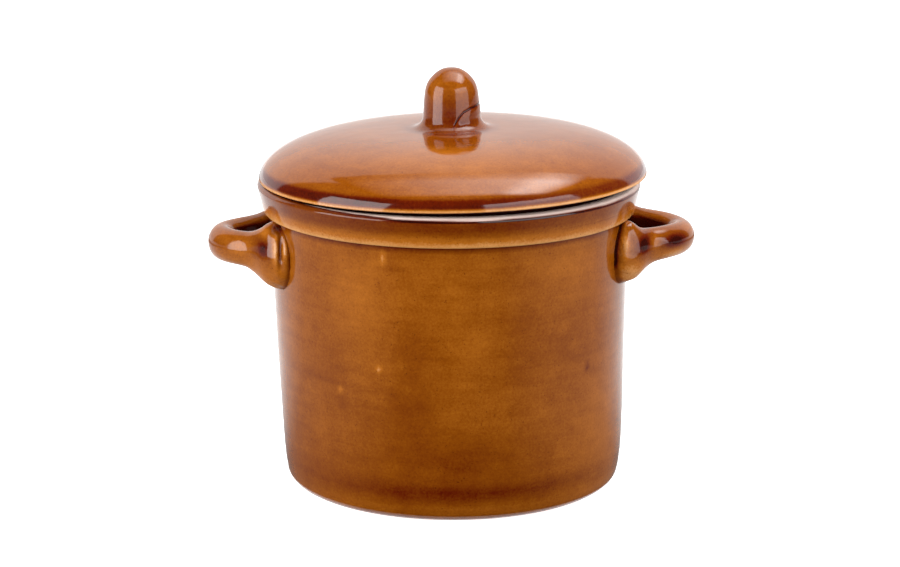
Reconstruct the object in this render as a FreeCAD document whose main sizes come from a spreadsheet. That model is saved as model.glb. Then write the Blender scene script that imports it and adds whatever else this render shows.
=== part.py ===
import FreeCAD, Part
import math
import os
import Sketcher
from FreeCAD import Placement, Rotation, Vector

# Lidded ceramic pot: a thrown stoneware pot with a banded collar and two ear handles,
# and a domed lid with a thumb-shaped knob, which sits a little askew on the rim.
# Sizes are in millimetres and degrees.  X runs through the two handles, Z is up,
# and the pot stands on its foot ring at Z = 0.

SIZES = {
    # vessel
    "wall_neck_radius": 73.7,
    "wall_taper": 4.0,
    "wall_thickness": 5.0,
    "floor_thickness": 7.0,
    "base_round": 8.0,
    "foot_ring_inset": 14.0,
    "foot_recess": 1.5,
    "inner_round": 12.0,
    # collar and rim
    "collar_level": 113.6,
    "collar_height": 12.4,
    "collar_step": 2.5,
    "collar_flare": 3.3,
    "collar_lip_round": 1.0,
    "rim_outer_round": 2.0,
    "rim_inner_round": 4.5,
    # ear handles
    "ear_drop": 13.8,
    "ear_projection": 20.5,
    "ear_bend_radius": 16.0,
    "ear_spread": 26.0,
    "ear_thickness": 12.4,
    "ear_extra_height": 1.6,
    "ear_root_width": 18.0,
    "ear_root_height": 27.0,
    "ear_root_rise": 1.2,
    "ear_root_depth": 3.7,
    "ear_flare_length": 8.0,
    "ear_neck_width_ratio": 1.07,
    "ear_neck_height_ratio": 1.12,
    "ear_buried_width_ratio": 1.08,
    "ear_buried_height_ratio": 1.05,
    # lid
    "lid_inset": 0.3,
    "lid_crown": 19.7,
    "lid_flat_radius": 28.0,
    "lid_thickness": 6.5,
    "lid_edge_height": 0.9,
    "lid_edge_undercut": 1.0,
    "flange_clearance": 0.3,
    "flange_taper": 2.0,
    "flange_depth": 8.0,
    "flange_width": 6.0,
    "flange_root_round": 2.5,
    "flange_tip_round": 1.5,
    # knob
    "knob_radius": 11.1,
    "knob_taper": 0.6,
    "knob_height": 24.5,
    "knob_root_round": 5.0,
    # how the lid sits
    "lid_tilt": 1.0,
    "lid_tilt_heading": -34.0,
    "lid_slide": 1.0,
    "lid_rest_clearance": 0.1,
}

doc = FreeCAD.newDocument("LiddedPot")
sheet = doc.addObject("Spreadsheet::Sheet", "dims")
for row, (alias, number) in enumerate(SIZES.items(), start=1):
    sheet.set(f"A{row}", alias)
    sheet.set(f"B{row}", str(number))
    sheet.setAlias(f"B{row}", alias)
doc.recompute()

# The points of a sketch edge, and the sketch's own origin.
START, END, CENTRE = 1, 2, 3
ORIGIN = (-1, 1)

# Edges are first drawn at these rough places; their pins then bring them to size.
ROUGH_START = Vector(10, 10, 0)
ROUGH_STEP = Vector(3, 5, 0)
ROUGH_RADIUS = 6
ROUGH_RISE = Vector(0, 1, 0)

OUTWARD = Vector(0, 0, 1)
UPWARD = Vector(0, 1, 0)
FULL_TURN = 360
TOLERANCE = 0.01
LARGEST_SHARE_LEFT = 0.6


def origin_plane(body, role):
    """The body's own origin plane with this role."""
    return next(plane for plane in body.Origin.OriginFeatures if plane.Role == role)


def new_sketch(body, name, role):
    """A sketch laid flat on one of the body's own origin planes."""
    sketch = body.newObject("Sketcher::SketchObject", name)
    sketch.AttachmentSupport = [(origin_plane(body, role), "")]
    sketch.MapMode = "FlatFace"
    return sketch


def drive(sketch, kind, where, value, formula):
    """Add a dimension to the sketch and bind it to the sheet."""
    index = sketch.addConstraint(Sketcher.Constraint(kind, *where, value))
    sketch.setExpression(f"Constraints[{index}]", formula)


def pin(sketch, edge, point, place):
    """Hold one point of an edge at a place given as two formulas, across and up."""
    rough = sketch.getPoint(edge, point)
    where = (*ORIGIN, edge, point)
    drive(sketch, "DistanceX", where, rough.x, place[0])
    drive(sketch, "DistanceY", where, rough.y, place[1])


def join(sketch, edge, point, other, other_point):
    """Make two edges share a point."""
    sketch.addConstraint(Sketcher.Constraint("Coincident", edge, point, other, other_point))


def add_line(sketch, before, place):
    """Draw a straight edge from the end of the edge before it to the place."""
    rough = sketch.getPoint(*before)
    edge = sketch.addGeometry(Part.LineSegment(rough, rough + ROUGH_STEP))
    join(sketch, *before, edge, START)
    pin(sketch, edge, END, place)
    return edge, END


def add_lines(sketch, before, places):
    """Draw straight edges from place to place; the answer is the last edge's end."""
    for place in places:
        before = add_line(sketch, before, place)
    return before


def first_line(sketch, start, end):
    """Draw the outline's first edge, held at both ends."""
    edge = sketch.addGeometry(Part.LineSegment(ROUGH_START, ROUGH_START + ROUGH_STEP))
    pin(sketch, edge, START, start)
    pin(sketch, edge, END, end)
    return edge


def close_on_axis(sketch, last, first):
    """Draw the edge along the axis from the outline's last point back to its first."""
    sketch.solve()
    way = Part.LineSegment(sketch.getPoint(*last), sketch.getPoint(*first))
    edge = sketch.addGeometry(way)
    join(sketch, *last, edge, START)
    join(sketch, edge, END, *first)
    doc.recompute()


def quarter_ellipse(sketch, centre, rough):
    """Draw the quarter of an ellipse from its side, START, to its top, END.

    The curve is up = sqrt(1 - across squared), each measured in its own half axis.
    Its centre is pinned; rough is the centre and the half axes in numbers.
    """
    whole = Part.Ellipse(Vector(rough[0], rough[1], 0), rough[2], rough[3])
    edge = sketch.addGeometry(Part.ArcOfEllipse(whole, 0, math.pi / 2))
    sketch.exposeInternalGeometry(edge)
    long_axis = edge + 1
    sketch.addConstraint(Sketcher.Constraint("Horizontal", long_axis))
    pin(sketch, edge, CENTRE, centre)
    return edge


def turn(body, kind, name, sketch):
    """Revolve the sketch fully round the body's upright axis."""
    feature = body.newObject(f"PartDesign::{kind}", name)
    feature.Profile = sketch
    feature.ReferenceAxis = (sketch, ["V_Axis"])
    feature.Angle = FULL_TURN
    doc.recompute()
    return feature


def ring_edges(feature, radius, level):
    """Names of the level circular edges of this radius and height."""
    names = []
    for number, edge in enumerate(feature.Shape.Edges, start=1):
        if edge.Degenerated or not isinstance(edge.Curve, Part.Circle):
            continue
        same_radius = math.isclose(edge.Curve.Radius, radius, abs_tol=TOLERANCE)
        same_level = math.isclose(edge.Curve.Center.z, level, abs_tol=TOLERANCE)
        if same_radius and same_level:
            names.append(f"Edge{number}")
    return names


def round_ring(body, name, feature, radius, level, size):
    """Round one ring-shaped edge by the named size."""
    fillet = body.newObject("PartDesign::Fillet", name)
    fillet.Base = (feature, ring_edges(feature, radius, level))
    fillet.setExpression("Radius", f"dims.{size}")
    doc.recompute()
    return fillet


# ---------------------------------------------------------------- pot
pot = doc.addObject("PartDesign::Body", "Pot")
pot.Label = "pot"

WALL_SLOPE = "dims.wall_taper / dims.collar_level"
WALL_FOOT_RADIUS = "(dims.wall_neck_radius - dims.wall_taper)"
RIM_LEVEL = "dims.collar_level + dims.collar_height"
MOUTH_RADIUS = (
    f"{WALL_FOOT_RADIUS} + {WALL_SLOPE} * ({RIM_LEVEL}) - dims.wall_thickness"
)
COLLAR_FOOT_RADIUS = "dims.wall_neck_radius + dims.collar_step"
COLLAR_TOP_RADIUS = f"{COLLAR_FOOT_RADIUS} + dims.collar_flare"
FLOOR_LEVEL = "dims.foot_recess + dims.floor_thickness"
FOOT_RADIUS = f"{WALL_FOOT_RADIUS} - dims.foot_ring_inset"

wall_slope = SIZES["wall_taper"] / SIZES["collar_level"]
wall_foot_radius = SIZES["wall_neck_radius"] - SIZES["wall_taper"]
rim_level = SIZES["collar_level"] + SIZES["collar_height"]
mouth_radius = wall_foot_radius + wall_slope * rim_level - SIZES["wall_thickness"]
collar_foot_radius = SIZES["wall_neck_radius"] + SIZES["collar_step"]
collar_top_radius = collar_foot_radius + SIZES["collar_flare"]
floor_level = SIZES["foot_recess"] + SIZES["floor_thickness"]
inner_floor_radius = (
    wall_foot_radius + wall_slope * floor_level - SIZES["wall_thickness"]
)

# The outside, thrown in one: foot ring, near-straight wall and the collar under the rim.
outside = new_sketch(pot, "Outside", "XZ_Plane")
recess_top = first_line(outside, ("0 mm", "dims.foot_recess"), (FOOT_RADIUS, "dims.foot_recess"))
last = add_lines(
    outside,
    (recess_top, END),
    [
        (FOOT_RADIUS, "0 mm"),
        (WALL_FOOT_RADIUS, "0 mm"),
        ("dims.wall_neck_radius", "dims.collar_level"),
        (COLLAR_FOOT_RADIUS, "dims.collar_level"),
        (COLLAR_TOP_RADIUS, RIM_LEVEL),
        ("0 mm", RIM_LEVEL),
    ],
)
close_on_axis(outside, last, (recess_top, START))
vessel = turn(pot, "Revolution", "Vessel", outside)
vessel = round_ring(pot, "BaseRound", vessel, wall_foot_radius, 0, "base_round")
vessel = round_ring(
    pot, "CollarLip", vessel, collar_foot_radius, SIZES["collar_level"], "collar_lip_round"
)
vessel = round_ring(pot, "RimOuter", vessel, collar_top_radius, rim_level, "rim_outer_round")


# The ear handles: a pulled strap of clay bent into a level loop and thumbed on to the
# wall, so each root spreads into a tall pad that is pinched up under the collar.
def half_round(sketch, before, after, first_angle, level):
    """Draw a half circle from the end of one side to the start of the other."""
    rough = ROUGH_RISE if first_angle == 0 else -ROUGH_RISE
    circle = Part.Circle(rough, OUTWARD, ROUGH_RADIUS)
    arc = sketch.addGeometry(Part.ArcOfCircle(circle, first_angle, first_angle + math.pi))
    join(sketch, before, END, arc, START)
    join(sketch, arc, END, after, START)
    drive(sketch, "DistanceY", (*ORIGIN, arc, CENTRE), rough.y, level)


def ear_section(name, place, heading, width, height):
    """An upright oval across the strap, centred at place and facing along heading."""
    sketch = new_sketch(pot, name, "YZ_Plane")
    sketch.AttachmentOffset = Placement(Vector(), Rotation(UPWARD, 1))
    for axis, formula in zip("zxy", place):
        sketch.setExpression(f"AttachmentOffset.Base.{axis}", formula)
    sketch.setExpression("AttachmentOffset.Rotation.Angle", heading)
    half_width = f"({width}) / 2"
    half_side = f"({height} - ({width})) / 2"
    rough = Vector(ROUGH_RADIUS, 0, 0)
    right = sketch.addGeometry(Part.LineSegment(rough - ROUGH_RISE, rough + ROUGH_RISE))
    left = sketch.addGeometry(Part.LineSegment(ROUGH_RISE - rough, -ROUGH_RISE - rough))
    pin(sketch, right, START, (half_width, f"-{half_side}"))
    pin(sketch, right, END, (half_width, half_side))
    pin(sketch, left, START, (f"-{half_width}", half_side))
    pin(sketch, left, END, (f"-{half_width}", f"-{half_side}"))
    half_round(sketch, right, left, 0, half_side)
    half_round(sketch, left, right, math.pi, f"-{half_side}")
    return sketch


BEND_CENTRE = "(dims.wall_neck_radius + dims.ear_projection - dims.ear_bend_radius)"
EAR_LEVEL = "dims.collar_level - dims.ear_drop"
ARM_END = f"({BEND_CENTRE} + dims.ear_bend_radius * sin(dims.ear_spread))"
ARM_OUT = "(dims.ear_bend_radius * cos(dims.ear_spread))"
STRAP_HEIGHT = "dims.ear_thickness + dims.ear_extra_height"
ROOT_LEVEL = f"{EAR_LEVEL} + dims.ear_root_rise"


def on_arm(along):
    """Place on the straight arm of the loop at this distance from the upright axis."""
    return along, f"{ARM_OUT} + ({ARM_END} - {along}) * tan(dims.ear_spread)"


def on_bend(share):
    """Place on the bend, at this share of the way from the tip to the arm."""
    angle = f"({share} * (90 - dims.ear_spread))"
    across = f"{BEND_CENTRE} + dims.ear_bend_radius * cos({angle})"
    return across, f"dims.ear_bend_radius * sin({angle})"


STRAP_SIZE = ("dims.ear_thickness", STRAP_HEIGHT)
NECK_SIZE = (
    "dims.ear_thickness * dims.ear_neck_width_ratio",
    f"({STRAP_HEIGHT}) * dims.ear_neck_height_ratio",
)
ROOT_SIZE = ("dims.ear_root_width", "dims.ear_root_height")
BURIED_SIZE = (
    "dims.ear_root_width * dims.ear_buried_width_ratio",
    "dims.ear_root_height * dims.ear_buried_height_ratio",
)
WALL_ALONG = "(dims.wall_neck_radius - dims.ear_root_depth)"
BURIED_END = on_arm(f"({WALL_ALONG} - dims.ear_flare_length)")
NECK = on_arm(f"({WALL_ALONG} + dims.ear_flare_length)")
MIDWAY = "(90 + dims.ear_spread) / 2"

# From the buried root to the middle of the bend: place, heading, oval, level.
half_loop = [
    (BURIED_END, "dims.ear_spread", BURIED_SIZE, ROOT_LEVEL),
    (on_arm(WALL_ALONG), "dims.ear_spread", ROOT_SIZE, ROOT_LEVEL),
    (NECK, "dims.ear_spread", NECK_SIZE, EAR_LEVEL),
    (on_bend("1"), "dims.ear_spread", STRAP_SIZE, EAR_LEVEL),
    (on_bend("0.5"), MIDWAY, STRAP_SIZE, EAR_LEVEL),
]
sections = []
for number, (place, heading, oval, level) in enumerate(half_loop):
    front = (place[0], f"-({place[1]})", level)
    sections.append(ear_section(f"EarFront{number}", front, heading, *oval))
sections.append(ear_section("EarTip", (*on_bend("0"), EAR_LEVEL), "90", *STRAP_SIZE))
for number, (place, heading, oval, level) in reversed(list(enumerate(half_loop))):
    back = (*place, level)
    sections.append(ear_section(f"EarBack{number}", back, f"180 - {heading}", *oval))
doc.recompute()
right_ear = pot.newObject("PartDesign::AdditiveLoft", "RightEar")
right_ear.Profile = sections[0]
right_ear.Sections = sections[1:]
doc.recompute()
left_ear = pot.newObject("PartDesign::Mirrored", "LeftEar")
left_ear.Originals = [right_ear]
left_ear.MirrorPlane = (origin_plane(pot, "YZ_Plane"), [""])
pot.Tip = left_ear
doc.recompute()

# The inside, hollowed after the ears so that their roots end in the wall.
inside = new_sketch(pot, "Inside", "XZ_Plane")
INNER_FLOOR_RADIUS = (
    f"{WALL_FOOT_RADIUS} + {WALL_SLOPE} * ({FLOOR_LEVEL}) - dims.wall_thickness"
)
floor_line = first_line(inside, ("0 mm", FLOOR_LEVEL), (INNER_FLOOR_RADIUS, FLOOR_LEVEL))
last = add_lines(
    inside, (floor_line, END), [(MOUTH_RADIUS, RIM_LEVEL), ("0 mm", RIM_LEVEL)]
)
close_on_axis(inside, last, (floor_line, START))
solid_volume = pot.Shape.Volume
hollow = turn(pot, "Groove", "Hollow", inside)
if pot.Shape.Volume > solid_volume * LARGEST_SHARE_LEFT:
    raise RuntimeError("the inside was not hollowed out")
hollow = round_ring(
    pot, "InnerRound", hollow, inner_floor_radius, floor_level, "inner_round"
)
hollow = round_ring(pot, "RimInner", hollow, mouth_radius, rim_level, "rim_inner_round")

# ---------------------------------------------------------------- lid
lid = doc.addObject("PartDesign::Body", "Lid")
lid.Label = "lid"

FLANGE_RADIUS = f"{MOUTH_RADIUS} - dims.flange_clearance"
FLANGE_TIP_RADIUS = f"{FLANGE_RADIUS} - dims.flange_taper"
FLANGE_INNER_RADIUS = f"{FLANGE_TIP_RADIUS} - dims.flange_width"
KNOB_TOP = "dims.lid_crown + dims.knob_height"
LID_RADIUS = f"{COLLAR_TOP_RADIUS} - dims.lid_inset"
SEAT_RADIUS = f"{LID_RADIUS} - dims.lid_edge_undercut"
KNOB_FOOT_RADIUS = "dims.knob_radius + dims.knob_taper"
CEILING = "dims.lid_crown - dims.lid_thickness"
lid_radius = collar_top_radius - SIZES["lid_inset"]
knob_foot_radius = SIZES["knob_radius"] + SIZES["knob_taper"]
flange_radius = mouth_radius - SIZES["flange_clearance"]
flange_tip_radius = flange_radius - SIZES["flange_taper"]
flange_inner_radius = flange_tip_radius - SIZES["flange_width"]

# One turned outline with the seat at Z = 0: knob, crown, shoulder, seat, flange, ceiling.
profile = new_sketch(lid, "LidOutline", "XZ_Plane")
knob_middle = SIZES["lid_crown"] + SIZES["knob_height"] - SIZES["knob_radius"]
tip = profile.addGeometry(
    Part.ArcOfCircle(
        Part.Circle(Vector(0, knob_middle, 0), OUTWARD, SIZES["knob_radius"]),
        0,
        math.pi / 2,
    )
)
pin(profile, tip, START, ("dims.knob_radius", f"{KNOB_TOP} - dims.knob_radius"))
pin(profile, tip, CENTRE, ("0 mm", f"{KNOB_TOP} - dims.knob_radius"))
drive(profile, "DistanceX", (*ORIGIN, tip, END), 0, "0 mm")
last = add_lines(
    profile,
    (tip, START),
    [(KNOB_FOOT_RADIUS, "dims.lid_crown"), ("dims.lid_flat_radius", "dims.lid_crown")],
)
shoulder = quarter_ellipse(
    profile,
    ("dims.lid_flat_radius", "dims.lid_edge_height"),
    (
        SIZES["lid_flat_radius"],
        SIZES["lid_edge_height"],
        lid_radius - SIZES["lid_flat_radius"],
        SIZES["lid_crown"] - SIZES["lid_edge_height"],
    ),
)
pin(profile, shoulder, START, (LID_RADIUS, "dims.lid_edge_height"))
join(profile, *last, shoulder, END)
last = add_lines(
    profile,
    (shoulder, START),
    [
        (SEAT_RADIUS, "0 mm"),
        (FLANGE_RADIUS, "0 mm"),
        (FLANGE_TIP_RADIUS, "-dims.flange_depth"),
        (FLANGE_INNER_RADIUS, "-dims.flange_depth"),
        (FLANGE_INNER_RADIUS, "0 mm"),
    ],
)
vault = quarter_ellipse(
    profile,
    ("dims.lid_flat_radius", "0 mm"),
    (
        SIZES["lid_flat_radius"],
        0,
        flange_inner_radius - SIZES["lid_flat_radius"],
        SIZES["lid_crown"] - SIZES["lid_thickness"],
    ),
)
pin(profile, vault, END, ("dims.lid_flat_radius", CEILING))
join(profile, *last, vault, START)
last = add_lines(profile, (vault, END), [("0 mm", CEILING)])
close_on_axis(profile, last, (tip, END))
dome = turn(lid, "Revolution", "Dome", profile)
dome = round_ring(
    lid, "KnobRoot", dome, knob_foot_radius, SIZES["lid_crown"], "knob_root_round"
)
dome = round_ring(lid, "FlangeRoot", dome, flange_radius, 0, "flange_root_round")
for name, radius in (("FlangeTip", flange_tip_radius), ("FlangeInnerTip", flange_inner_radius)):
    dome = round_ring(lid, name, dome, radius, -SIZES["flange_depth"], "flange_tip_round")

# The lid has slid toward one side and rides up on its flange there, so it rests on the
# rim at the other side and stands a little open: it is tilted about a level line through
# the place where it rests.
REST_RADIUS = f"({COLLAR_TOP_RADIUS} - dims.rim_outer_round)"
ALONG = f"(dims.lid_slide - {REST_RADIUS} * (1 - cos(dims.lid_tilt)))"
lid.Placement = Placement(Vector(), Rotation(UPWARD, SIZES["lid_tilt"]))
lid.setExpression("Placement.Rotation.Axis.x", "sin(dims.lid_tilt_heading)")
lid.setExpression("Placement.Rotation.Axis.y", "-cos(dims.lid_tilt_heading)")
lid.setExpression("Placement.Rotation.Axis.z", "0")
lid.setExpression("Placement.Rotation.Angle", "dims.lid_tilt")
lid.setExpression("Placement.Base.x", f"{ALONG} * cos(dims.lid_tilt_heading)")
lid.setExpression("Placement.Base.y", f"{ALONG} * sin(dims.lid_tilt_heading)")
lid.setExpression(
    "Placement.Base.z",
    f"{RIM_LEVEL} + dims.lid_rest_clearance + {REST_RADIUS} * sin(dims.lid_tilt)",
)
doc.recompute()

# ---------------------------------------------------------------- checks and files
for thing in doc.Objects:
    if "Invalid" in thing.State or "Error" in thing.State:
        raise RuntimeError(f"{thing.Name} failed")
os.makedirs("parts", exist_ok=True)
for node in (pot, lid):
    if node.Shape.isNull() or not node.Shape.isValid() or len(node.Shape.Solids) != 1:
        raise RuntimeError(f"{node.Label} is not one sound solid")
for node in (pot, lid):
    node.Shape.exportStep(f"parts/{node.Label}.step")
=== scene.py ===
from math import radians

import bpy
import numpy as np
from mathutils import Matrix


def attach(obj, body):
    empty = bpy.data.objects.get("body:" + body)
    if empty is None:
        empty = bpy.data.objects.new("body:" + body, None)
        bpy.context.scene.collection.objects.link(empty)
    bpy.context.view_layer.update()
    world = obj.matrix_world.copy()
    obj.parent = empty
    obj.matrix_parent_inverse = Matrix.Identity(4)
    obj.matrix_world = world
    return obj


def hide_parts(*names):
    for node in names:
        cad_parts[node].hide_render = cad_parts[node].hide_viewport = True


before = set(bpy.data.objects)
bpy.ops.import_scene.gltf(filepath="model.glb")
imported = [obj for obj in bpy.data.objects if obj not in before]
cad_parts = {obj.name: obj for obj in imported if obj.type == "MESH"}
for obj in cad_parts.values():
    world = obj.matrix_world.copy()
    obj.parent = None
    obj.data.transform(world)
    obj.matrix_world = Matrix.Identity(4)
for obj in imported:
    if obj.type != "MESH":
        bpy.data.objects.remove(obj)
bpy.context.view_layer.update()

# ---------------------------------------------------------------------------
# Pot.  A stoneware vessel thrown in one: flat foot, near-straight wall, and a
# banded collar that flares up to the rim.  It is dipped in amber-brown glaze all
# over except the rim and the foot ring, which stay bare buff clay.

# The pot's sizes are in millimetres, and MM turns them into the scene's metres.
MM = 0.001
RECESS_LEVEL = 1.5
RECESS_RADIUS = 55.5
FOOT_RING_RADIUS = 57.0
WALL_FOOT_RADIUS = 69.7
WALL_NECK_RADIUS = 73.7
COLLAR_LEVEL = 113.6
COLLAR_FOOT_RADIUS = 76.3
COLLAR_MIDDLE_RADIUS = 77.4
COLLAR_MIDDLE_LEVEL = 119.1
COLLAR_TOP_RADIUS = 78.6
RIM_LEVEL = 126.0
RIM_SHOULDER_RADIUS = 77.3
RIM_CREST_RADIUS = 75.2
MOUTH_RADIUS = 69.3
FLOOR_RADIUS = 64.7
FLOOR_LEVEL = 8.5
CENTRE_RADIUS = 3.0
OUTLINE_STEP = 2.2
AROUND = 416


def rounded_outline(corners, step):
    """Outline through the corners (radius, height, rounding).

    Each corner is replaced by a circular arc tangent to its two sides, and the
    straight stretches between arcs are cut into equal parts no longer than step.
    """
    places = np.array([corner[:2] for corner in corners], float)
    rounding = [corner[2] for corner in corners]
    runs = [places[:1]]
    for before, here, after, radius in zip(places, places[1:], places[2:], rounding[1:]):
        back = (before - here) / np.linalg.norm(before - here)
        ahead = (after - here) / np.linalg.norm(after - here)
        half = np.arccos(np.clip(back @ ahead, -1, 1)) / 2
        middle = (back + ahead) / np.linalg.norm(back + ahead)
        centre = here + middle * radius / np.sin(half)
        first = here + back * radius / np.tan(half) - centre
        last = here + ahead * radius / np.tan(half) - centre
        share = np.linspace(0, 1, int(radius / step * 2) + 4)[:, None]
        sweep = np.arccos(np.clip(first @ last / radius**2, -1, 1))
        arc = (np.sin((1 - share) * sweep) * first + np.sin(share * sweep) * last) / np.sin(sweep)
        runs.append(centre + arc)
    runs.append(places[-1:])
    outline = [runs[0]]
    for before, after in zip(runs, runs[1:]):
        gap = np.linalg.norm(after[0] - before[-1])
        share = np.linspace(0, 1, int(gap / step) + 2)[1:-1, None]
        outline += [before[-1] + (after[0] - before[-1]) * share, after]
    return np.concatenate(outline)


def bump(value, centre, width):
    """Smooth hump of height one at the centre, falling off as a bell curve."""
    return np.exp(-(((value - centre) / width) ** 2))


def rise(value, low, high):
    """Smooth step from nought at low to one at high.

    It is the square of the share of the way, times three less twice the share.
    """
    share = np.clip((value - low) / (high - low), 0, 1)
    return share * share * (3 - 2 * share)


def fall(value, low, high):
    """Smooth step from one at low to nought at high."""
    return 1 - rise(value, low, high)


outline = rounded_outline(
    [
        (CENTRE_RADIUS, RECESS_LEVEL, 0),
        (RECESS_RADIUS, RECESS_LEVEL, 1.0),
        (FOOT_RING_RADIUS, 0.0, 0.6),
        (WALL_FOOT_RADIUS, 0.0, 4.0),
        (WALL_NECK_RADIUS, COLLAR_LEVEL - 0.2, 0.7),
        (COLLAR_FOOT_RADIUS, COLLAR_LEVEL, 1.2),
        (COLLAR_MIDDLE_RADIUS, COLLAR_MIDDLE_LEVEL, 20.0),
        (COLLAR_TOP_RADIUS, RIM_LEVEL - 1.5, 1.1),
        (RIM_SHOULDER_RADIUS, RIM_LEVEL - 0.1, 1.6),
        (RIM_CREST_RADIUS, RIM_LEVEL, 0.6),
        (MOUTH_RADIUS, RIM_LEVEL - 0.4, 4.2),
        (FLOOR_RADIUS, FLOOR_LEVEL, 12.0),
        (CENTRE_RADIUS, FLOOR_LEVEL, 0),
    ],
    OUTLINE_STEP,
)
angle = np.arange(AROUND) * 2 * np.pi / AROUND
radius, height = outline[:, :1], outline[:, 1:]
high = height + 0 * angle
outside = np.arange(len(outline))[:, None] < np.argmax(outline[:, 1])
upper = high > 100

# The hand shows: the wall bellies and draws in at the foot, is a little oval and a
# little three-sided, carries faint throwing rings, and leans to the left as it rises.
BELLY = 0.16
FOOT_DRAW = 2.0
FOOT_DRAW_LEVEL = 6.0
OVAL = 0.22
THREE_SIDED = 0.12
RING_HEIGHT = 0.05
FOOT_SHIFT = 0.5
LEAN = 1.5
belly = BELLY * np.sin(np.pi * height / COLLAR_LEVEL) - FOOT_DRAW * np.exp(-height / FOOT_DRAW_LEVEL)
oval = OVAL * np.cos(2 * angle + 0.6 + height / 60)
three_sided = THREE_SIDED * np.cos(3 * angle - 1.1 - height / 35)
throwing_rings = RING_HEIGHT * np.sin(height * 1.1 + angle + 0.6 * np.sin(height / 9))
wall_part = outside * rise(height, 0.5, 3) * fall(height, 110, 113)
radii = radius + outside * (belly * (height < COLLAR_LEVEL) + (oval + three_sided) * rise(height, 2, 20))
radii = radii + wall_part * throwing_rings
lean = FOOT_SHIFT - LEAN * height / COLLAR_LEVEL * rise(height, 0, 60)
points = np.stack([radii * np.cos(angle) + lean, radii * np.sin(angle), high], -1)

# Headings are in degrees: 0 is the right side, -90 the front, and -180 the left side.
heading = np.degrees(np.arctan2(radii * np.sin(angle), radii * np.cos(angle)))

# The rim's top was wiped: bare clay shows between these two uneven edges of the glaze,
# and again on the foot ring.  The inner edge is set well out, so that the rim's inner
# part keeps the dark glaze as a painted shadow under the lid.
WIPED_OUTER_RADIUS = 78.2
WIPED_INNER_RADIUS = 75.0
outer_edge = WIPED_OUTER_RADIUS + 0.2 * bump(heading, -92, 42) - 2.0 * bump(heading, -152, 40)
outer_edge = outer_edge + 0.06 * np.sin(7 * angle) + 0.05 * np.sin(17 * angle)
inner_edge = WIPED_INNER_RADIUS + 0.6 * bump(heading, -152, 40) - 0.5 * bump(heading, -30, 30)
past_inner_edge = rise(radii, inner_edge - 0.15, inner_edge + 0.15)
short_of_outer_edge = fall(radii, outer_edge - 0.1, outer_edge + 0.1)
bare_rim = past_inner_edge * short_of_outer_edge * (high > RIM_LEVEL - 2)
bare_foot = outside * fall(high, 0.5, 1.0) * (radii > 50)
bare = np.clip(bare_rim + bare_foot, 0, 1)

# How pale the glaze shows, with 0.5 for an even coat: how thickly it lies, together with
# painted light and shade.  The collar's lower half is paler, thinner glaze with painted
# light on it, and its lower edge carries a pale line, glaze breaking over the edge with a
# painted highlight.  Above that the collar is darker, pooled glaze with painted shade
# where it faces down, a little paler high up toward the front right; in the corner
# underneath lies a painted shadow under the collar, with glaze pooled there.
EVEN_COAT = 0.5
on_collar = outside * (radius > 75.0) * upper
in_corner = outside * (radius < 75.5) * upper
glaze_and_light = EVEN_COAT + 0.34 * on_collar * fall(high, COLLAR_LEVEL + 0.9, COLLAR_LEVEL + 6.9)
glaze_and_light -= 0.17 * on_collar * rise(high, COLLAR_LEVEL + 3.9, COLLAR_LEVEL + 8.4)
glaze_and_light += 0.2 * on_collar * bump(high, COLLAR_LEVEL + 0.3, 0.7)
glaze_and_light += 0.1 * on_collar * bump(heading, -35, 25) * (high > 119)
glaze_and_light -= 0.4 * in_corner * rise(high, COLLAR_LEVEL - 2.1, COLLAR_LEVEL)

# Above the foot it is darker in a band strongest toward the front, pooled glaze with
# painted shade; below that it is paler over the turn, painted light from the table; and
# it is darker again at the bottom edge.
at_the_front = bump(heading, -88, 45)
glaze_and_light -= 0.27 * outside * at_the_front * bump(high, 12.5, 3.8)
glaze_and_light += 0.06 * outside * fall(high, 5.5, 9.5) * rise(high, 1.5, 3.5)
glaze_and_light -= 0.3 * outside * fall(high, 0.8, 2.6)

# It pools in a line along the wiped rim.  The rim's inside and the pot's inside below it
# are painted dark, as shadow under the lid.
inside_rim = (radii < 75.4) * (radius < 75.4) * (high > RIM_LEVEL - 3)
glaze_and_light -= 0.45 * bump(radii, outer_edge + 0.4, 0.3) * (high > RIM_LEVEL - 2) * bump(heading, -70, 60)
glaze_and_light -= 0.6 * inside_rim
glaze_and_light -= 0.5 * (1 - outside) * (high > 60) * (radii < 74)

# Blotches on the wall: heading, level, spread in degrees and in height, and how much
# paler (or, with a minus, darker) the middle of each shows: thinner or thicker glaze in
# the clouds and pits, and painted shade on the wall round and behind the handles in those
# beside the ears.  The left side counts twice, since headings meet there.
BESIDE_EARS = [(turn, 103, 11, 16, -0.42) for turn in (-180, 0, 180)]
CLOUDS = [
    (-90, 108, 55, 12, 0.06),
    (-119, 92, 16, 16, 0.16),
    (-118, 66, 14, 14, 0.06),
    (-50, 100, 26, 20, 0.08),
    (-30, 40, 20, 30, 0.1),
    (-150, 70, 16, 40, 0.06),
    (-84, 26, 20, 9, -0.14),
    (-92, 66, 12, 10, -0.05),
    (-98, 45, 12, 10, -0.05),
    (-90, 44, 7, 7, 0.06),
    (-75, 60, 30, 40, 0.05),
    (-104, 62, 7, 34, -0.06),
    (-70, 70, 6, 30, -0.05),
    (-86, 80, 8, 22, 0.04),
    (-106, 103, 4, 2.5, -0.1),
]
PITS = [
    (-110.6, 108.5, 0.9, 3.0, 0.3),
    (-113.2, 62.5, 0.9, 1.4, 0.35),
    (-128, 52, 1.0, 1.4, 0.3),
    (-41, 59, 1.1, 1.6, -0.35),
]
for place, level, wide, tall, amount in BESIDE_EARS + CLOUDS + PITS:
    blotch = bump(heading, place, wide) * bump(high, level, tall)
    glaze_and_light += amount * outside * blotch * (high < COLLAR_LEVEL - 0.1)


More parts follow.
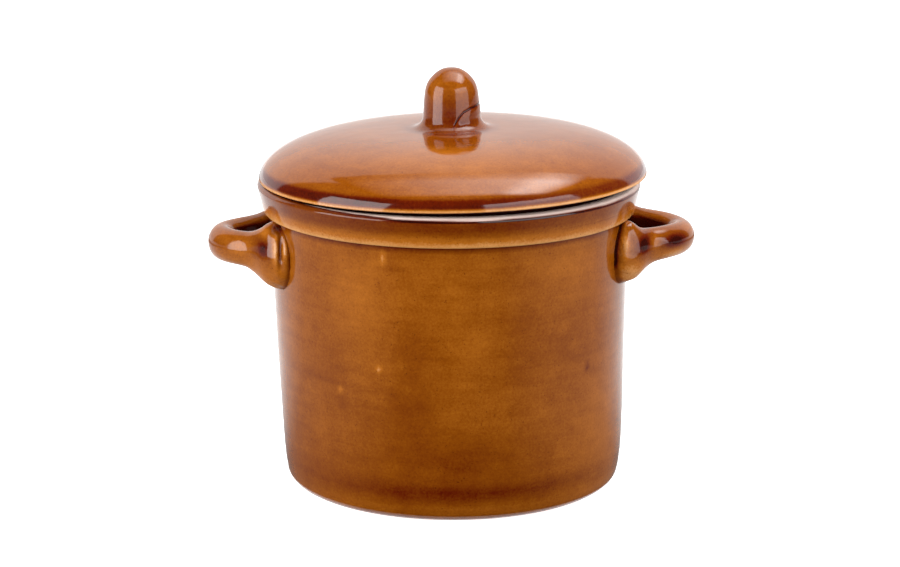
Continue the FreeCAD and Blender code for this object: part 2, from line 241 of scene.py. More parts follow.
def closed_grid_faces(rows, around):
    """Quads of a grid whose columns join up all the way round, seen from outside."""
    row, column = np.meshgrid(np.arange(rows - 1), np.arange(around), indexing="ij")
    here = row * around + column
    beside = row * around + (column + 1) % around
    return np.stack([here, beside, beside + around, here + around], -1).reshape(-1, 4)


def make_piece(name, points, poles, marks, material):
    """Mesh of a closed surface from a grid of points in millimetres, rows by columns.

    The first and the last row close on the two poles with a fan of triangles, and
    marks are numbers stored at every point for the material to read.
    """
    rows, around = points.shape[:2]
    corners = np.concatenate([points.reshape(-1, 3), np.array(poles)]) * MM
    first_pole, last_pole = rows * around, rows * around + 1
    ring = np.arange(around)
    ahead = (ring + 1) % around
    low_fan = np.stack([np.full(around, first_pole), ahead, ring], -1)
    last_row = (rows - 1) * around
    high_fan = np.stack([np.full(around, last_pole), last_row + ring, last_row + ahead], -1)
    quads = closed_grid_faces(rows, around)
    mesh = bpy.data.meshes.new(name)
    faces = quads.tolist() + low_fan.tolist() + high_fan.tolist()
    mesh.from_pydata(corners.tolist(), [], faces)
    for label, values in marks.items():
        layer = mesh.attributes.new(label, "FLOAT", "POINT")
        flat = values.reshape(-1)
        layer.data.foreach_set("value", np.concatenate([flat, flat[[0, -1]]]).astype(np.float32))
    mesh.polygons.foreach_set("use_smooth", np.ones(len(mesh.polygons), bool))
    mesh.materials.append(material)
    mesh.update()
    piece = bpy.data.objects.new(name, mesh)
    bpy.context.scene.collection.objects.link(piece)
    return piece


def linear(red, green, blue):
    """Colour written as screen values up to 255, turned into the light values nodes use.

    Each is a share raised to the power 2.4 after a small offset, or, when very dark, a
    plain share of the screen value.
    """
    screen = np.array([red, green, blue]) / 255
    light = np.where(screen <= 0.04045, screen / 12.92, ((screen + 0.055) / 1.055) ** 2.4)
    return (*light, 1.0)


def feed(tree, socket, value):
    """Set a node's socket to a plain value, or link it to another node's output."""
    if isinstance(value, bpy.types.NodeSocket):
        tree.links.new(value, socket)
    else:
        socket.default_value = value


def reckon(tree, operation, *values):
    """Number that a math node works out from one to three others."""
    node = tree.nodes.new("ShaderNodeMath")
    node.operation = operation
    for socket, value in zip(node.inputs, values):
        feed(tree, socket, value)
    return node.outputs[0]


def blended(tree, factor, first, second, way="MIX"):
    """Colour between the first and the second, or one added to or multiplied by the other."""
    node = tree.nodes.new("ShaderNodeMix")
    node.data_type = "RGBA"
    node.blend_type = way
    first_colour, second_colour = node.inputs[6], node.inputs[7]
    feed(tree, node.inputs["Factor"], factor)
    feed(tree, first_colour, first)
    feed(tree, second_colour, second)
    return node.outputs[2]


def ramp(tree, factor, stops):
    """Colour that follows these stops (place, colour) along the factor."""
    node = tree.nodes.new("ShaderNodeValToRGB")
    elements = node.color_ramp.elements
    elements.remove(elements[-1])
    elements[0].position, elements[0].color = stops[0]
    for place, colour in stops[1:]:
        elements.new(place).color = colour
    feed(tree, node.inputs["Fac"], factor)
    return node.outputs["Color"]


def cloudy(tree, scale, detail, roughness, stretch=(1, 1, 1)):
    """Cloudy number between nought and one, fixed to the piece; stretch squeezes it."""
    squeeze = tree.nodes.new("ShaderNodeMapping")
    squeeze.inputs["Scale"].default_value = stretch
    feed(tree, squeeze.inputs["Vector"], tree.nodes.new("ShaderNodeTexCoord").outputs["Object"])
    node = tree.nodes.new("ShaderNodeTexNoise")
    node.inputs["Scale"].default_value = scale
    node.inputs["Detail"].default_value = detail
    node.inputs["Roughness"].default_value = roughness
    feed(tree, node.inputs["Vector"], squeeze.outputs["Vector"])
    return node.outputs["Fac"]


def mark(tree, label):
    """Number that the mesh carries under this label."""
    node = tree.nodes.new("ShaderNodeAttribute")
    node.attribute_name = label
    return node.outputs["Fac"]


# Glaze colours from darkest to palest: pooled glaze and painted shade take the dark end,
# thinnest glaze and painted highlights the pale end.
GLAZE_STOPS = [
    (0.0, linear(52, 6, 1)),
    (0.2, linear(98, 24, 1)),
    (0.5, linear(143, 73, 6)),
    (0.75, linear(184, 106, 26)),
    (1.0, linear(226, 160, 92)),
]
# What breaks its colour up: scale, detail, roughness, squeeze and how far it swings.
# They are broad clouds, mottle, grain, and streaks brushed level round the pot.
GLAZE_CLOUDS = [
    (22, 3, 0.5, (1, 1, 1), 0.24),
    (120, 4, 0.6, (1, 1, 1), 0.22),
    (1100, 2, 0.6, (1, 1, 1), 0.26),
    (30, 3, 0.6, (1, 1, 9), 0.17),
]
SPECK_STOPS = [(0.66, linear(255, 255, 255)), (0.72, linear(120, 80, 50))]
SPECK_STRENGTH = 0.6
CLAY_STOPS = [(0.3, linear(250, 218, 204)), (0.7, linear(255, 230, 218))]
GLAZE_ROUGHNESS = 0.09
CLAY_ROUGHNESS = 0.69
GLAZE_IOR = 1.5
SPECK_SCALE = 1500
CLAY_SCALE = 400
RIPPLE_SCALE = 90
RIPPLE_DEPTH = 0.4 * MM
RIPPLE_STRENGTH = 0.25


def glaze_material(name):
    """Amber glaze over buff clay.

    Its colour runs from dark, where the glaze has pooled and where shade is painted in, to
    light, where it is thinnest and where highlights are painted in, by the mark that
    carries both, broken up by cloudy noise; the mark "bare" shows the clay.
    """
    material = bpy.data.materials.new(name)
    material.use_nodes = True
    tree = material.node_tree
    shader = tree.nodes["Principled BSDF"]
    glaze_and_light_level = mark(tree, "glaze_and_light")
    for scale, detail, roughness, stretch, swing in GLAZE_CLOUDS:
        noise = cloudy(tree, scale, detail, roughness, stretch)
        glaze_and_light_level = reckon(tree, "ADD", glaze_and_light_level, reckon(tree, "MULTIPLY_ADD", noise, swing, -swing / 2))
    specks = ramp(tree, cloudy(tree, SPECK_SCALE, 2, 0.5), SPECK_STOPS)
    glaze = blended(tree, SPECK_STRENGTH, ramp(tree, glaze_and_light_level, GLAZE_STOPS), specks, "MULTIPLY")
    clay = ramp(tree, cloudy(tree, CLAY_SCALE, 4, 0.6), CLAY_STOPS)
    bareness = mark(tree, "bare")
    roughness = reckon(
        tree, "MULTIPLY_ADD", bareness, CLAY_ROUGHNESS - GLAZE_ROUGHNESS, GLAZE_ROUGHNESS
    )
    ripples = tree.nodes.new("ShaderNodeBump")
    ripples.inputs["Distance"].default_value = RIPPLE_DEPTH
    ripples.inputs["Strength"].default_value = RIPPLE_STRENGTH
    feed(tree, ripples.inputs["Height"], cloudy(tree, RIPPLE_SCALE, 2, 0.5))
    feed(tree, shader.inputs["Base Color"], blended(tree, bareness, glaze, clay))
    feed(tree, shader.inputs["Roughness"], roughness)
    feed(tree, shader.inputs["IOR"], GLAZE_IOR)
    feed(tree, shader.inputs["Normal"], ripples.outputs["Normal"])
    return material


amber_glaze = glaze_material("amber_glaze")
pot = make_piece(
    "pot_vessel",
    points,
    [(lean[0, 0], 0, RECESS_LEVEL), (lean[-1, 0], 0, FLOOR_LEVEL)],
    {"glaze_and_light": glaze_and_light, "bare": bare},
    amber_glaze,
)
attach(pot, "root")

# ---------------------------------------------------------------------------
# Ear handles.  Each is a pulled strap of clay bent into a level loop; its two ends
# are thumbed on to the wall, spreading into tall pads pinched up under the collar.

STRAP_TURNS = 160
STRAP_STEPS = 300
WALL_BY_EARS = 73.2
EAR_COAT = 0.48
CRUST_HEIGHT = 0.26
THUMBED_HEIGHT = 0.2


def smooth_through(stations, count):
    """Natural cubic curve through evenly numbered stations.

    Between two stations the curve is their straight mix plus a cubic share of each
    one's bend, and the bends are the ones that make slope and bend run on unbroken.
    """
    stations = np.asarray(stations, float)
    number = len(stations)
    system = np.eye(number) * 4 + np.eye(number, k=1) + np.eye(number, k=-1)
    system[0], system[-1] = np.eye(number)[0], np.eye(number)[-1]
    load = np.zeros_like(stations)
    load[1:-1] = 6 * (stations[2:] - 2 * stations[1:-1] + stations[:-2])
    bend = np.linalg.solve(system, load)
    along = np.linspace(0, number - 1, count)
    low = np.minimum(along.astype(int), number - 2)
    share = (along - low)[:, None]
    rest = 1 - share
    return (
        rest * stations[low]
        + share * stations[low + 1]
        + (rest**3 - rest) * bend[low] / 6
        + (share**3 - share) * bend[low + 1] / 6
    )


def strap(stations):
    """Strap carried along a path: stations are path place, then reach out, in, up, down.

    Round the path each section is an oval whose half axes are the four reaches.  It
    gives the path, the surface, its outward directions, and how far across and up
    each point lies on the oval, from minus one to one.
    """
    table = smooth_through(stations, STRAP_STEPS)
    middle = table[:, :3]
    out, inner, above, below = (table[:, k : k + 1] for k in (3, 4, 5, 6))
    ahead = np.gradient(middle, axis=0)
    ahead /= np.linalg.norm(ahead, axis=1, keepdims=True)
    side = np.cross(ahead, [0, 0, 1.0])
    side /= np.linalg.norm(side, axis=1, keepdims=True)
    up = np.cross(side, ahead)
    turn = np.arange(STRAP_TURNS) * 2 * np.pi / STRAP_TURNS
    across, rising = np.cos(turn), np.sin(turn)
    wide = across * np.where(across > 0, out, inner)
    tall = rising * np.where(rising > 0, above, below)
    offset = wide[..., None] * side[:, None] + tall[..., None] * up[:, None]
    outward = offset / np.linalg.norm(offset, axis=-1, keepdims=True)
    return middle, middle[:, None] + offset, outward, across, rising


def humps(points, rows):
    """Sum of bell-curve humps in space, each (place, width across, deep and up, height)."""
    total = np.zeros(points.shape[:2])
    for *place, wide_x, wide_y, wide_z, amount in rows:
        apart = (points - place) / (wide_x, wide_y, wide_z)
        total += amount * np.exp(-(apart**2).sum(-1))
    return total


def worked_clay(points, lumps, crust):
    """How far the maker's touch and the fire lift each point of a handle.

    That is the lumps and dents, a patch of blisters at the crust (place, width), and
    the slight unevenness of clay that was thumbed down near the wall.
    """
    x, y, z = points[..., 0], points[..., 1], points[..., 2]
    *place, wide = crust
    patch = humps(points, [(*place, wide, wide * 2, wide * 3, 1.0)])
    blisters = np.sin(3.1 * z + 1.7 * y) * np.sin(4.3 * x - 2.2 * z) + 0.6 * np.sin(6.1 * z + 5.3 * x)
    near_root = fall(np.hypot(x, y), 77, 83)
    thumbed = near_root * np.sin(0.5 * x + 0.7 * z + 1.0) * np.sin(0.6 * y - 0.45 * z)
    return humps(points, lumps) + CRUST_HEIGHT * patch * blisters + THUMBED_HEIGHT * thumbed


def ear_glaze_and_light(points, across, rising, tints):
    """How pale the glaze shows on a handle, painted light and shade included.

    It is paler underneath.  Inside the loop it is painted dark as shade, and where the
    roots meet the wall it is darker, painted shade with glaze pooled in the crevice, most
    of all under the collar; each tint makes it paler or darker round one more place.
    """
    from_wall = np.hypot(points[..., 0], points[..., 1]) - WALL_BY_EARS
    inside_loop = rise(-across, 0.1, 0.5) * fall(rising, 0.5, 0.82) * rise(from_wall, 0.5, 3)
    under_collar = rise(points[..., 2], 94, 99)
    glaze_and_light = EAR_COAT + 0.32 * np.clip(-rising, 0, 1) + 0.03 * np.clip(rising, 0, 1)
    glaze_and_light = glaze_and_light - 0.55 * inside_loop - 0.3 * fall(from_wall, 0.4, 2.4)
    glaze_and_light = glaze_and_light - 0.5 * fall(from_wall, 0.2, 1.0) * under_collar
    return glaze_and_light + humps(points, tints) * (1 - inside_loop)


def ear_handle(name, stations, lumps, tints, crust):
    """One handle: the strap through its stations, worked by hand and glazed."""
    middle, points, outward, across, rising = strap(stations)
    points = points + worked_clay(points, lumps, crust)[..., None] * outward
    glaze_and_light = ear_glaze_and_light(points, across, rising, tints)
    piece = make_piece(
        name,
        points[:, ::-1],
        [middle[0], middle[-1]],
        {"glaze_and_light": glaze_and_light[:, ::-1], "bare": glaze_and_light * 0},
        amber_glaze,
    )
    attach(piece, "root")
    return piece


RIGHT_STATIONS = [
    (66.2, -22.7, 99.8, 9.0, 8.5, 13.0, 13.0),
    (69.3, -24.2, 99.9, 8.6, 8.0, 13.4, 12.2),
    (72.6, -24.0, 100.4, 7.0, 6.5, 13.2, 10.8),
    (76.0, -21.6, 101.0, 5.8, 6.0, 9.6, 8.9),
    (80.0, -18.4, 101.6, 5.8, 6.0, 7.4, 7.4),
    (85.0, -15.2, 101.9, 6.0, 6.0, 6.9, 6.8),
    (90.8, -9.2, 101.9, 6.0, 6.0, 6.8, 6.7),
    (94.1, 0.0, 101.7, 6.0, 6.0, 6.8, 6.7),
    (90.8, 8.6, 102.0, 6.0, 6.0, 6.8, 6.7),
    (85.0, 13.9, 102.2, 6.0, 6.0, 6.9, 6.8),
    (80.0, 18.0, 101.8, 6.0, 6.0, 7.4, 7.4),
    (76.0, 21.2, 101.0, 6.0, 6.0, 9.6, 8.9),
    (72.6, 23.4, 100.4, 7.0, 6.5, 13.2, 10.8),
    (69.3, 23.7, 99.9, 8.6, 8.0, 13.4, 12.2),
    (66.2, 22.7, 99.8, 9.0, 8.5, 13.0, 13.0),
]
LEFT_STATIONS = [
    (-66.2, 21.7, 99.8, 9.0, 8.5, 13.0, 14.0),
    (-69.3, 22.5, 99.9, 8.6, 8.0, 13.0, 13.8),
    (-72.6, 22.0, 100.2, 7.0, 6.5, 12.2, 12.6),
    (-76.0, 19.6, 100.4, 6.0, 6.0, 8.6, 9.4),
    (-80.0, 16.2, 100.4, 6.0, 6.0, 6.9, 7.6),
    (-84.6, 12.2, 100.2, 6.0, 6.0, 6.8, 7.2),
    (-90.6, 7.2, 99.8, 6.0, 6.0, 7.0, 7.2),
    (-94.2, -0.6, 99.5, 6.0, 6.0, 7.3, 7.3),
    (-91.2, -9.6, 99.7, 6.0, 6.0, 7.1, 7.1),
    (-85.6, -15.2, 99.9, 6.0, 6.0, 7.0, 7.2),
    (-80.8, -18.4, 100.0, 5.9, 6.0, 7.6, 8.3),
    (-76.6, -22.3, 100.0, 5.6, 6.0, 10.0, 10.8),
    (-72.8, -25.2, 99.8, 7.2, 6.8, 13.4, 13.0),
    (-69.4, -25.6, 99.6, 10.6, 8.0, 13.8, 14.0),
    (-66.2, -24.4, 99.4, 11.2, 8.5, 13.4, 14.4),
]

# The right handle's front root: a dent under the collar, a ridge along the crevice, a
# small lump on the loop and a pinched peak.  Then its patches: a dark one on the loop's
# front with a paler one below, painted shade in a hollow by the root, a pale touch, a
# painted highlight along the ridge, and a paler patch low on the pad.
right_ear = ear_handle(
    "ear_handle_right",
    RIGHT_STATIONS,
    [
        (66.2, -32.0, 110.0, 2.0, 3.0, 2.6, -1.0),
        (70.2, -32.5, 105.0, 1.6, 5.0, 6.0, 0.6),
        (87.0, -19.0, 103.4, 2.2, 5.0, 1.2, 0.35),
        (73.0, -28.0, 112.6, 1.6, 4.0, 1.6, 0.5),
    ],
    [
        (89.4, -14.0, 103.5, 6.0, 8.0, 2.7, -0.75),
        (89.0, -14.0, 98.4, 6.0, 9.0, 2.2, 0.3),
        (77.2, -25.0, 104.0, 3.0, 9.0, 3.8, -0.7),
        (82.2, -22.0, 104.0, 2.4, 7.0, 2.4, 0.18),
        (69.7, -33.0, 105.2, 1.6, 7.0, 6.0, 0.45),
        (72.0, -31.0, 94.0, 6.0, 9.0, 5.0, 0.22),
    ],
    (68.2, -32.5, 104.0, 1.7),
)

# The left handle's front root: a groove between two folds, two shallow dents, and a
# lump at the foot.  Then its patches: a paler one on the loop, painted shade in the dent
# beside the folds, painted highlights on the two folds, painted shade in the groove,
# painted shadow in the dent under the collar, and a pale touch above.
left_ear = ear_handle(
    "ear_handle_left",
    LEFT_STATIONS,
    [
        (-68.4, -35.0, 103.0, 0.9, 6.0, 6.5, -1.4),
        (-69.9, -33.5, 103.2, 1.3, 6.0, 6.0, 0.7),
        (-66.2, -36.0, 102.8, 1.1, 5.0, 5.5, 0.7),
        (-75.2, -28.5, 103.0, 2.4, 6.0, 4.4, -0.4),
        (-68.5, -34.0, 91.5, 2.4, 6.0, 2.8, 0.7),
        (-69.6, -31.0, 111.3, 2.0, 5.0, 1.8, -1.2),
    ],
    [
        (-84.5, -20.0, 101.0, 5.2, 6.0, 2.4, 0.26),
        (-75.1, -27.0, 103.0, 3.0, 8.0, 3.4, -0.7),
        (-70.4, -33.0, 103.0, 1.4, 7.0, 5.5, 0.55),
        (-66.5, -36.0, 103.8, 1.3, 6.0, 5.0, 0.4),
        (-68.7, -35.0, 103.6, 0.7, 6.0, 5.0, -0.4),
        (-69.6, -29.0, 111.3, 2.4, 5.0, 2.0, -0.5),
        (-74.6, -27.0, 109.3, 2.6, 6.0, 2.6, 0.25),
    ],
    (-66.6, -36.0, 100.0, 1.0),
)

# Vessel and handles were fired as one, so together they stand in for the solid pot.
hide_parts("pot")
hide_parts("pot")
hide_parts("pot")

# ---------------------------------------------------------------------------
# Lid.  A thrown dome with a flange below that drops into the mouth, and a
# thumb-shaped knob pulled up from its middle.  It sits slightly askew, resting on
# the rim at the back left and standing open at the front right.

LID_RADIUS = 79.2
LID_LEVEL = 127.9
LID_RIGHT = 0.5
LID_FRONT = 0.5
TILT_RIGHT = 0.0162
TILT_BACK = -0.009
CROWN_HEIGHT = 19.14
CROWN_FLATNESS = 3.551
EDGE_ROUNDNESS = 1.84
KNOB_FOOT_RADIUS = 19.0
KNOB_TOP = 43.7
HOLLOW_TOP = 12.5
FLANGE_RADIUS = 68.9
FLANGE_FOOT_RADIUS = 66.9
FLANGE_INNER_RADIUS = 60.9
FLANGE_LEVEL = -8.5
UNDER_EDGE_LEVEL = -0.55
LID_AROUND = 344
KNOB_STEPS = 130
KNOB_FLARE_STEPS = 12
CROWN_STEPS = 60
UNDER_STEP = 2.5


def dome_height(reach):
    """Height of the dome above its edge: a flat crown that rolls over to the edge.

    The share of the crown's height and the share of the radius, each raised to a
    power of its own, add up to one.
    """
    share = np.clip(reach / LID_RADIUS, 0, 1)
    return CROWN_HEIGHT * (1 - share**CROWN_FLATNESS) ** (1 / EDGE_ROUNDNESS)


knob_line = smooth_through(
    [
        (1.5, 43.65),
        (3.3, 43.3),
        (5.0, 42.5),
        (6.7, 41.3),
        (8.2, 39.8),
        (9.6, 37.9),
        (10.6, 35.4),
        (11.1, 32.6),
        (11.4, 29.6),
        (11.6, 26.8),
        (11.8, 24.3),
        (12.3, 22.2),
        (13.5, 20.5),
        (15.6, 19.4),
        (18.2, 19.1),
    ],
    KNOB_STEPS,
)
crown_start = np.arcsin(KNOB_FOOT_RADIUS / LID_RADIUS)
crown_reach = LID_RADIUS * np.sin(np.linspace(crown_start, np.pi / 2, CROWN_STEPS))
crown_line = np.stack([crown_reach, dome_height(crown_reach)], -1)
under_line = rounded_outline(
    [
        (LID_RADIUS, -0.1, 0),
        (78.3, UNDER_EDGE_LEVEL, 0.3),
        (FLANGE_RADIUS, UNDER_EDGE_LEVEL, 2.5),
        (FLANGE_FOOT_RADIUS, FLANGE_LEVEL, 1.5),
        (FLANGE_INNER_RADIUS, FLANGE_LEVEL, 1.5),
        (60.0, 1.5, 6.0),
        (45.0, 10.5, 20.0),
        (25.0, HOLLOW_TOP, 20.0),
        (CENTRE_RADIUS, HOLLOW_TOP, 0),
    ],
    UNDER_STEP,
)
lid_line = np.concatenate([knob_line, crown_line, under_line])
row = np.arange(len(lid_line))[:, None]
on_knob = row < KNOB_STEPS - KNOB_FLARE_STEPS
on_underside = row >= KNOB_STEPS + CROWN_STEPS
lid_angle = np.arange(LID_AROUND) * 2 * np.pi / LID_AROUND
lid_reach = lid_line[:, :1] + 0 * lid_angle
lid_level = lid_line[:, 1:] + 0 * lid_angle

# Degrees round from the front, with a plus to the right and a minus to the left.
from_front = np.degrees((lid_angle + np.pi / 2 + np.pi) % (2 * np.pi) - np.pi)

# The clay was creased where the knob was pulled: a fold runs up round its right side,
# with a slight sag of clay below it.
FOLD = [(2, 20.5), (5, 22.0), (11.4, 24.2), (24.5, 26.9), (42, 28.2), (73, 29.1), (95, 29.2)]
FOLD_DEPTH = 0.3
FOLD_WIDTH = 0.45
SAG_HEIGHT = 0.22
SAG_WIDTH = 1.8
SAG_DROP = 2.2
fold_heading, fold_level = np.array(FOLD).T
fold = np.interp(from_front, fold_heading, fold_level)
along_fold = on_knob * rise(from_front, 0, 8) * fall(from_front, 88, 96)
crease = along_fold * bump(lid_level, fold, FOLD_WIDTH)
lid_reach = lid_reach - FOLD_DEPTH * crease
lid_reach = lid_reach + SAG_HEIGHT * along_fold * bump(lid_level, fold - SAG_DROP, SAG_WIDTH)


def seated(across, deep, level):
    """Places on the lid, slid and tipped as it sits on the pot.

    The two tilts are slopes: how far it rises for each millimetre right and back.
    """
    return np.stack(
        [
            across - TILT_RIGHT * level + LID_RIGHT,
            deep - TILT_BACK * level - LID_FRONT,
            LID_LEVEL + level + TILT_RIGHT * across + TILT_BACK * deep,
        ],
        -1,
    )


lid_points = seated(lid_reach * np.cos(lid_angle), lid_reach * np.sin(lid_angle), lid_level)
lid_bare = on_underside * fall(lid_level, FLANGE_LEVEL + 0.5, FLANGE_LEVEL + 1.5) * (lid_reach > 60)

# The glaze pools where the dome rolls over, less so to the right, and breaks pale and
# golden on the sharp edge; under the edge it is painted dark, as shadow in the gap over
# the rim.
to_right = bump(from_front, 45, 35)
lid_glaze_and_light = EVEN_COAT - (0.37 - 0.16 * to_right) * rise(lid_reach, 76.7, 78.1) * (lid_level < 9)
lid_glaze_and_light += 0.8 * fall(lid_level, 0.4, 1.7) * (lid_reach > 77)
lid_glaze_and_light -= 1.2 * fall(lid_level, -0.5, -0.3) * (lid_reach > 66)

# Round the knob it is darker in front and low down, painted shade from the knob with glaze
# pooled at its foot, and paler on the two flanks, painted highlights where the softboxes
# shine on it.
near_knob = (lid_level > 17) * (lid_reach < 20)
knob_flanks = bump(from_front, 22, 20) + bump(from_front, -36, 20)
lid_glaze_and_light -= 0.26 * near_knob * bump(from_front, 0, 75) * fall(lid_level, 27, 38)
lid_glaze_and_light -= 0.05 * on_knob * rise(lid_level, 20, 24)
lid_glaze_and_light += 0.12 * on_knob * knob_flanks * rise(lid_level, 22, 26) * fall(lid_level, 36, 41)

# On the dome it is a little paler toward the front.  The patch before the knob is a
# painted reflection of the knob with painted shade, and the crease is painted dark as
# shade, with glaze pooled in it.
beside = np.abs(lid_reach * np.sin(np.radians(from_front)))
on_dome = (lid_level > 5) * (lid_level < 19.6) * (np.abs(from_front) < 80)
before_knob = on_dome * rise(lid_reach, 15, 22) * fall(lid_reach, 34, 50) * fall(beside, 6, 15)
lid_glaze_and_light += 0.1 * bump(lid_reach, 52, 26) * bump(from_front, -8, 38) * (lid_level > 6)
lid_glaze_and_light -= 0.16 * before_knob + 0.42 * crease
lid = make_piece(
    "lid_dome",
    lid_points[:, ::-1],
    [seated(0, 0, KNOB_TOP), seated(0, 0, HOLLOW_TOP)],
    {"glaze_and_light": lid_glaze_and_light[:, ::-1], "bare": lid_bare[:, ::-1]},
    amber_glaze,
)
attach(lid, "root")
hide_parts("lid")

# ---------------------------------------------------------------------------
# Floor.  A white table top that runs on out of sight under the pot, lit up a little
# so that it shows as white as the room behind.  From here lengths are in metres.

FLOOR_HALF = 6.0
FLOOR_PAINT = (0.9, 0.9, 0.9, 1)
FLOOR_LIFT = 0.75
WHITE = (1, 1, 1, 1)
SQUARE_FACE = [(0, 1, 2, 3)]


def any_of(tree, values):
    """Number that is the largest of these, so that it is one when any of them is."""
    largest = values[0]
    for value in values[1:]:
        largest = reckon(tree, "MAXIMUM", largest, value)
    return largest


def studio_floor():
    """White to the eye and in every mirror image, while it keeps the pot's shadow."""
    mesh = bpy.data.meshes.new("floor")
    half = FLOOR_HALF
    corners = [(-half, -half, 0), (half, -half, 0), (half, half, 0), (-half, half, 0)]
    mesh.from_pydata(corners, [], SQUARE_FACE)
    floor = bpy.data.objects.new("floor", mesh)
    bpy.context.scene.collection.objects.link(floor)
    material = bpy.data.materials.new("floor_white")
    material.use_nodes = True
    tree = material.node_tree
    shader = tree.nodes["Principled BSDF"]
    shader.inputs["Base Color"].default_value = FLOOR_PAINT
    shader.inputs["Roughness"].default_value = 1.0
    shader.inputs["Specular IOR Level"].default_value = 0.0
    shader.inputs["Emission Color"].default_value = WHITE
    rays = tree.nodes.new("ShaderNodeLightPath").outputs
    seeing = any_of(tree, [rays["Is Camera Ray"], rays["Is Glossy Ray"], rays["Is Transmission Ray"]])
    feed(tree, shader.inputs["Emission Strength"], reckon(tree, "MULTIPLY", seeing, FLOOR_LIFT))
    mesh.materials.append(material)


studio_floor()

# ---------------------------------------------------------------------------
# Lights.  Two tall softboxes stand before the pot to left and right, a soft lamp
# hangs over it, and a card lies on the table for the glaze to mirror.  All are
# boards that glow, and none is seen by the camera.

CARD_INNER_RADIUS = 0.069
CARD_OUTER_RADIUS = 5.0
CARD_LEVEL = 0.0004
CARD_POINTS = 96
CARD_FILL = (0.15, 0.15, 0.15, 1)
SOFTBOX_DISTANCE = 0.72
SOFTBOX_TOP = 0.60
SOFTBOX_STRENGTH = 4.3
OVERHEAD_PLACE = (-0.7, -0.5, 1.14)
OVERHEAD_SIZE = (1.65, 1.15, 1)
OVERHEAD_STRENGTH = 7.9


def parts_of(tree, place):
    """The three numbers of a place or direction."""
    node = tree.nodes.new("ShaderNodeSeparateXYZ")
    feed(tree, node.inputs["Vector"], place)
    return tuple(node.outputs)


def own_place(tree):
    """Where a point lies in its board's own measure."""
    return tree.nodes.new("ShaderNodeTexCoord").outputs["Object"]


def turned_away(tree, place):
    """Number that runs from nought on the camera's side of the pot to one behind.

    It is the angle between the place's heading and the camera's, over half a turn.
    """
    x, y, _ = parts_of(tree, place)
    heading = reckon(tree, "ARCTAN2", x, reckon(tree, "MULTIPLY", y, -1.0))
    return reckon(tree, "DIVIDE", reckon(tree, "ABSOLUTE", heading), np.pi)


def grey_ramp(tree, factor, stops):
    """Brightness that follows these stops (place, level) along the factor."""
    return ramp(tree, factor, [(place, (level, level, level, 1)) for place, level in stops])


def glowing_board(name, corners, faces, paint, strength=1.0):
    """A board that lights the pot and shows in its glaze; paint gives its colour."""
    mesh = bpy.data.meshes.new(name)
    mesh.from_pydata(corners, [], faces)
    board = bpy.data.objects.new(name, mesh)
    bpy.context.scene.collection.objects.link(board)
    material = bpy.data.materials.new(name)
    material.use_nodes = True
    tree = material.node_tree
    tree.nodes.clear()
    glow = tree.nodes.new("ShaderNodeEmission")
    feed(tree, glow.inputs["Color"], paint(tree))
    feed(tree, glow.inputs["Strength"], strength)
    feed(tree, tree.nodes.new("ShaderNodeOutputMaterial").inputs["Surface"], glow.outputs[0])
    mesh.materials.append(material)
    board.visible_camera = False
    board.visible_shadow = False
    return board


def table_paint(tree):
    """The table as the glaze sees it: unlit in front, brighter to the sides and back."""
    place = own_place(tree)
    length = tree.nodes.new("ShaderNodeVectorMath")
    length.operation = "LENGTH"
    feed(tree, length.inputs[0], place)
    around = grey_ramp(
        tree,
        turned_away(tree, place),
        [(0.0, 0.02), (0.16, 0.05), (0.35, 0.32), (0.55, 0.45), (0.7, 1.0), (0.86, 1.4)],
    )
    outward = grey_ramp(
        tree,
        length.outputs["Value"],
        [(0.08, 0.55), (0.2, 1.0), (0.48, 1.0), (0.6, 0.15), (0.74, 0.15), (0.9, 1.0)],
    )
    mirrored = blended(tree, 1.0, around, outward, "MULTIPLY")
    rays = tree.nodes.new("ShaderNodeLightPath").outputs
    return blended(tree, rays["Is Diffuse Ray"], mirrored, CARD_FILL, "ADD")


def table_card():
    """A flat ring round the pot's foot."""
    turn = np.arange(CARD_POINTS) * 2 * np.pi / CARD_POINTS
    edge = np.stack([np.cos(turn), np.sin(turn)], -1)
    level = np.full((CARD_POINTS, 1), CARD_LEVEL)
    rings = [np.hstack([edge * radius, level]) for radius in (CARD_INNER_RADIUS, CARD_OUTER_RADIUS)]
    faces = closed_grid_faces(2, CARD_POINTS)[:, ::-1]
    return glowing_board("table_card", np.concatenate(rings).tolist(), faces.tolist(), table_paint)


def softbox(name, heading, half_width, stops):
    """An upright softbox at this heading from the camera's side, facing the pot.

    Its brightness follows the stops (height, level).
    """
    turn = radians(heading)
    middle = np.array([np.sin(turn), -np.cos(turn)]) * SOFTBOX_DISTANCE
    along = np.array([np.cos(turn), np.sin(turn)]) * half_width
    left, right = middle - along, middle + along
    corners = [(*left, 0.0), (*right, 0.0), (*right, SOFTBOX_TOP), (*left, SOFTBOX_TOP)]

    def paint(tree):
        return grey_ramp(tree, parts_of(tree, own_place(tree))[2], stops)

    return glowing_board(name, corners, SQUARE_FACE, paint, SOFTBOX_STRENGTH)


def overhead_paint(tree):
    """Bright toward the front right, dim toward the back, soft at every edge."""
    across, deep, _ = parts_of(tree, own_place(tree))
    across_stops = [
        (0.03, 0.0),
        (0.24, 0.14),
        (0.42, 0.33),
        (0.515, 0.42),
        (0.606, 0.5),
        (0.7, 1.0),
        (0.81, 0.9),
        (0.99, 0.0),
    ]
    deep_stops = [(0.06, 0.0), (0.22, 1.0), (0.696, 1.0), (0.826, 0.5), (0.974, 0.3)]
    sideways = grey_ramp(tree, across, across_stops)
    backwards = grey_ramp(tree, deep, deep_stops)
    return blended(tree, 1.0, sideways, backwards, "MULTIPLY")


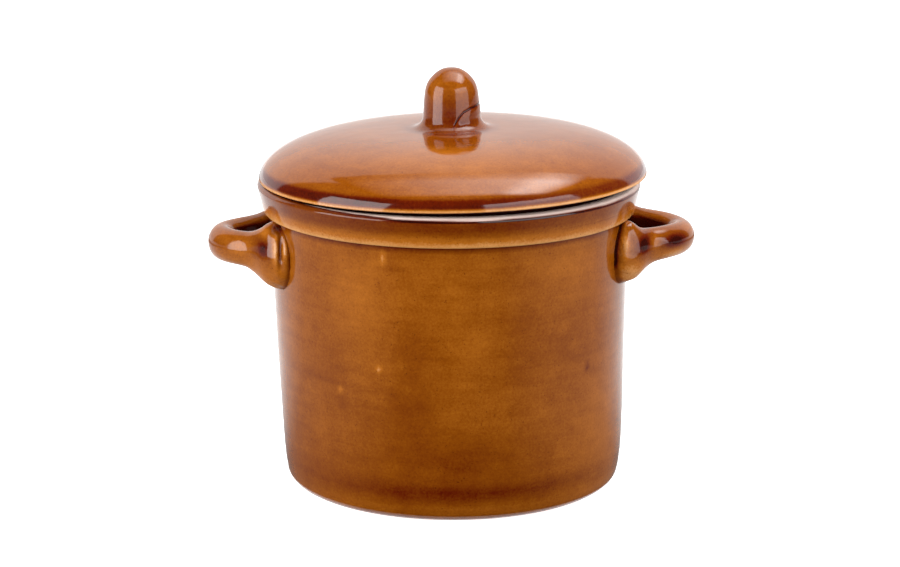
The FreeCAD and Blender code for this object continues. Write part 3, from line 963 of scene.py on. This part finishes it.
def overhead_lamp():
    """A square of one by one, stretched to the lamp's size and hung over the pot."""
    corners = [(0, 0, 0), (1, 0, 0), (1, 1, 0), (0, 1, 0)]
    lamp = glowing_board("overhead_lamp", corners, SQUARE_FACE, overhead_paint, OVERHEAD_STRENGTH)
    lamp.location = OVERHEAD_PLACE
    lamp.scale = OVERHEAD_SIZE
    return lamp


table_card()
softbox("softbox_left", -59.5, 0.284, [(0.0, 1.0), (0.6, 1.0)])
softbox("softbox_right", 46.5, 0.40, [(0.35, 0.5), (0.48, 0.85)])
overhead_lamp()

# ---------------------------------------------------------------------------
# Surround.  The room beyond the lights: a dark front and a white back as the glaze
# mirrors them, plain white to the camera and through glass, and a soft fill of light.

BACK_START = 0.69
BACK_END = 0.715
CEILING = (0.6, 0.6, 0.6, 1)


def surround():
    """World colour, by how far a ray's direction turns from the camera and rises."""
    world = bpy.data.worlds.new("surround")
    bpy.context.scene.world = world
    world.use_nodes = True
    tree = world.node_tree
    direction = tree.nodes.new("ShaderNodeTexCoord").outputs["Generated"]
    away = turned_away(tree, direction)
    rising = parts_of(tree, direction)[2]
    walls = grey_ramp(tree, away, [(0.0, 0.03), (BACK_START, 0.05), (BACK_END, 1.0), (1.0, 1.1)])
    overhead = grey_ramp(tree, rising, [(0.88, 0.0), (0.95, 1.0)])
    room = blended(tree, overhead, walls, CEILING)
    soft_fill = grey_ramp(tree, rising, [(0.0, 1.1), (0.45, 1.1), (0.65, 0.15), (1.0, 0.15)])
    rays = tree.nodes.new("ShaderNodeLightPath").outputs
    lit = blended(tree, rays["Is Diffuse Ray"], room, soft_fill, "ADD")
    behind = grey_ramp(tree, away, [(BACK_START, 0.0), (BACK_END, 1.0)])
    mirrored = reckon(tree, "MULTIPLY", rays["Is Glossy Ray"], behind)
    seen = any_of(tree, [rays["Is Camera Ray"], rays["Is Transmission Ray"], mirrored])
    feed(tree, tree.nodes["Background"].inputs["Color"], blended(tree, seen, lit, WHITE))


surround()

# ---------------------------------------------------------------------------
# Camera.  It stands straight before the pot, a little above it and tipped down, far
# enough off for a long lens to fill the frame.  Lens and sensor are in millimetres.

CAMERA_PLACE = (-0.0006, -1.1245, 0.3594)
CAMERA_DIP = 13.899
CAMERA_LENS = 112.0
SENSOR_WIDTH = 36.0

camera = bpy.data.cameras.new("camera")
camera.lens = CAMERA_LENS
camera.sensor_width = SENSOR_WIDTH
camera_rig = bpy.data.objects.new("camera", camera)
camera_rig.location = CAMERA_PLACE
camera_rig.rotation_euler = (radians(90 - CAMERA_DIP), 0, 0)
bpy.context.scene.collection.objects.link(camera_rig)
bpy.context.scene.camera = camera_rig
bpy.context.scene.view_settings.view_transform = "Standard"
